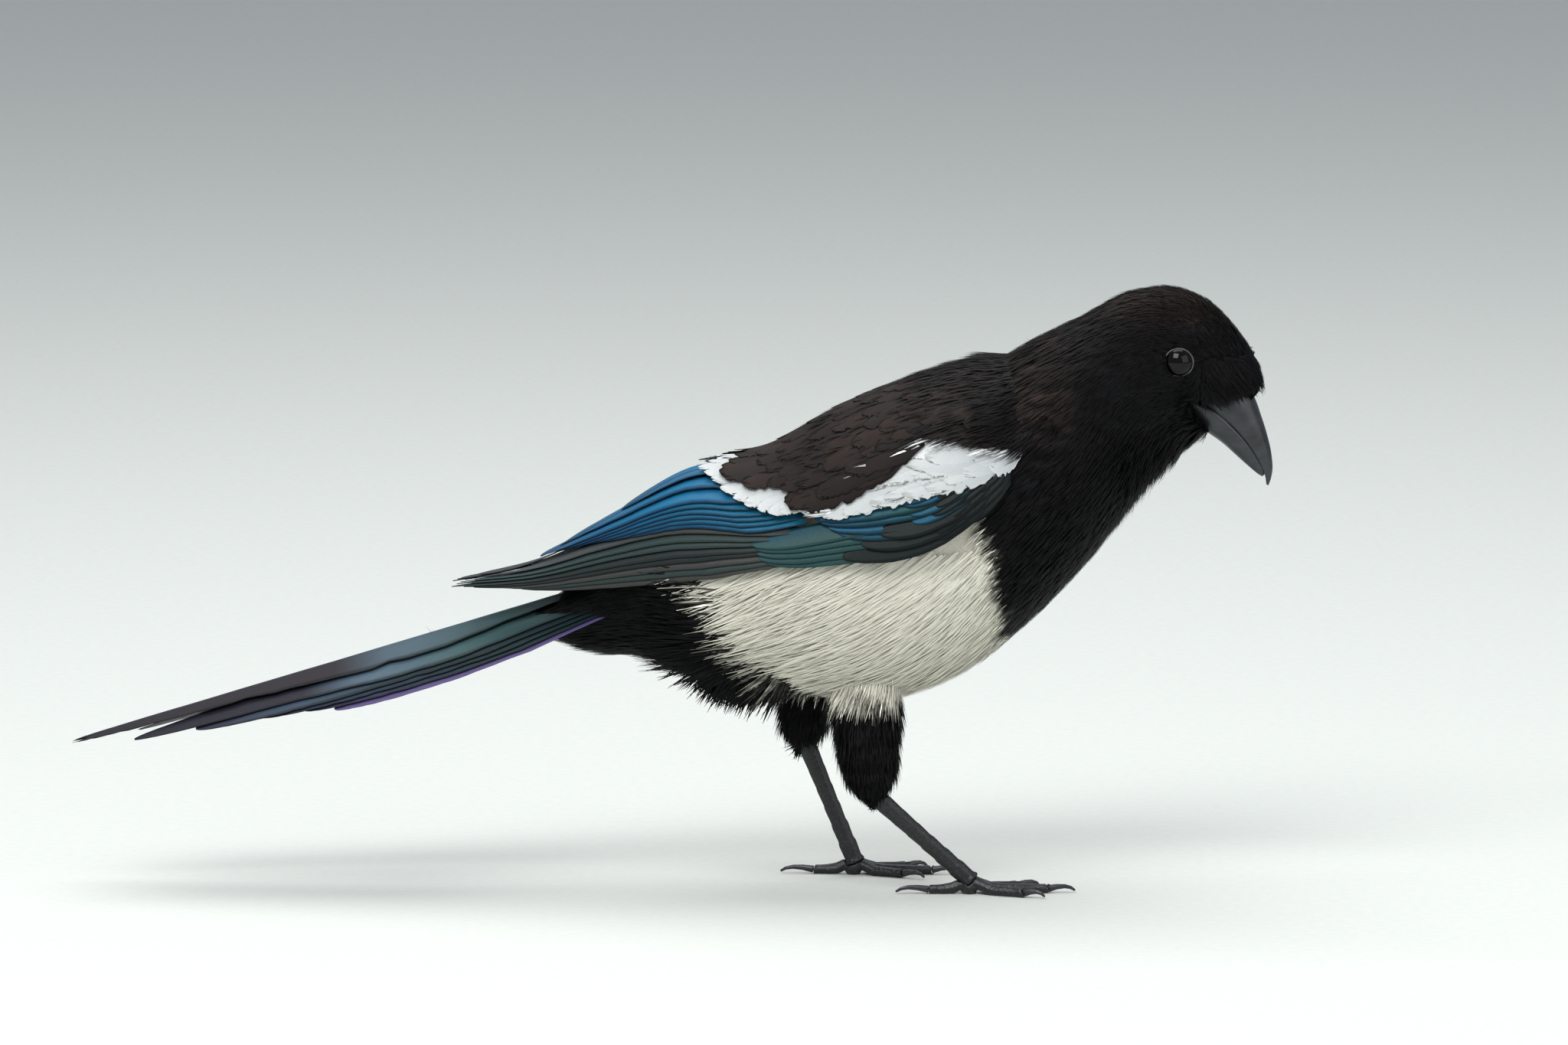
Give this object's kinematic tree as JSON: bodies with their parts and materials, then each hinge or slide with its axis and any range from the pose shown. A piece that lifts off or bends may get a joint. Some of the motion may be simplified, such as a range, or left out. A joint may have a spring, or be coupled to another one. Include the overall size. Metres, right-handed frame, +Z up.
{
  "type": "eurasian magpie",
  "caption": "Life-size still model of a Eurasian magpie walking with its head low, folded wings and a long level tail",
  "frame": {"origin": "on the floor, under the middle of the whole bird", "axes": "+X is ahead, the way the bill and the toes point; +Y is the bird's left; +Z is up"},
  "size_m": [0.4087, 0.0868, 0.2048],
  "materials": {
    "black_plumage": "soft, with a faint gloss",
    "mantle_plumage": "soft",
    "white_plumage": "silky",
    "wing_plumage": "iridescent blue, satin",
    "tail_plumage": "iridescent green and purple, satin",
    "leg_scales": "scaly, semi-gloss",
    "horn": "smooth horn, satin",
    "eye": "wet gloss"
  },
  "bodies": {
    "root": {"head": "black_plumage", "bill_upper": "horn", "bill_lower": "horn", "eye_right": "eye", "eye_left": "eye", "neck": "black_plumage", "breast": "black_plumage", "belly": "white_plumage", "rump": "black_plumage", "wing_right": "wing_plumage", "wing_left": "wing_plumage", "scapulars_right": "white_plumage", "scapulars_left": "white_plumage", "mantle": "mantle_plumage", "tail": "tail_plumage", "thigh_right": "black_plumage", "thigh_left": "black_plumage", "tarsus_right": "leg_scales", "tarsus_left": "leg_scales", "foot_right": "leg_scales", "foot_left": "leg_scales", "claw_right_middle": "horn", "claw_right_inner": "horn", "claw_right_outer": "horn", "claw_right_hind": "horn", "claw_left_middle": "horn", "claw_left_inner": "horn", "claw_left_outer": "horn", "claw_left_hind": "horn"}
  },
  "joints": []
}
